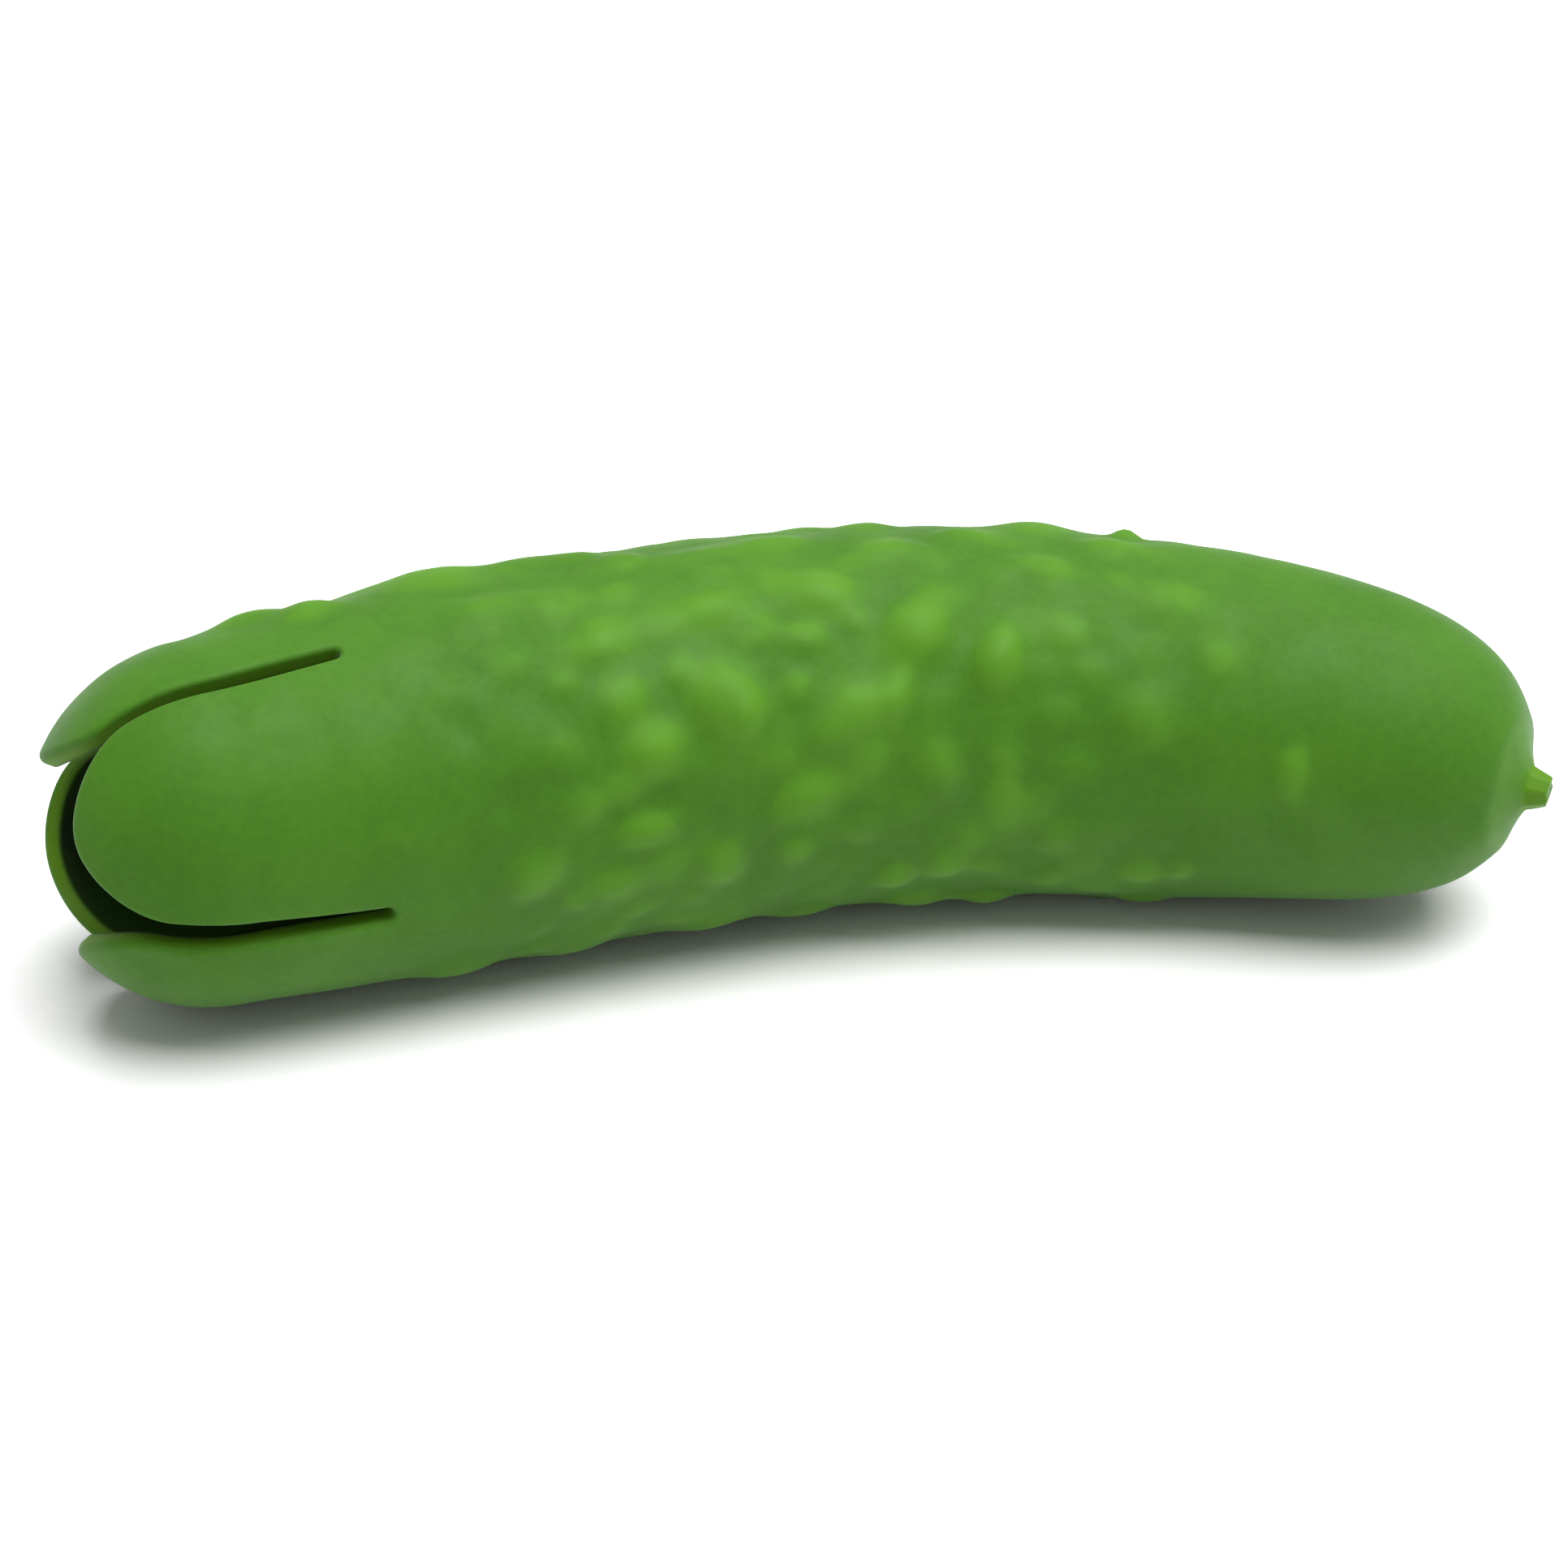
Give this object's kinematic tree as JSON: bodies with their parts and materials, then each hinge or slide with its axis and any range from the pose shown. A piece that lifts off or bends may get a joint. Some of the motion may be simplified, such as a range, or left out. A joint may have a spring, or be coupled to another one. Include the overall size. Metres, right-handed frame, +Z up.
{
  "type": "moulded silicone cucumber",
  "caption": "Curved hollow sleeve in soft green silicone, shaped like a warty cucumber, its mouth closed by rounded petals and its far end by a small stub.",
  "frame": {"origin": "centre of the sleeve's footprint, on the surface it lies on", "axes": "+X from the slotted mouth to the stub end, -Y the inner side of the bend, +Z up"},
  "size_m": [0.1844, 0.065, 0.0474],
  "materials": {
    "silicone": "matte, slightly translucent moulded silicone"
  },
  "bodies": {
    "root": {"cucumber_sleeve": "silicone"}
  },
  "joints": []
}
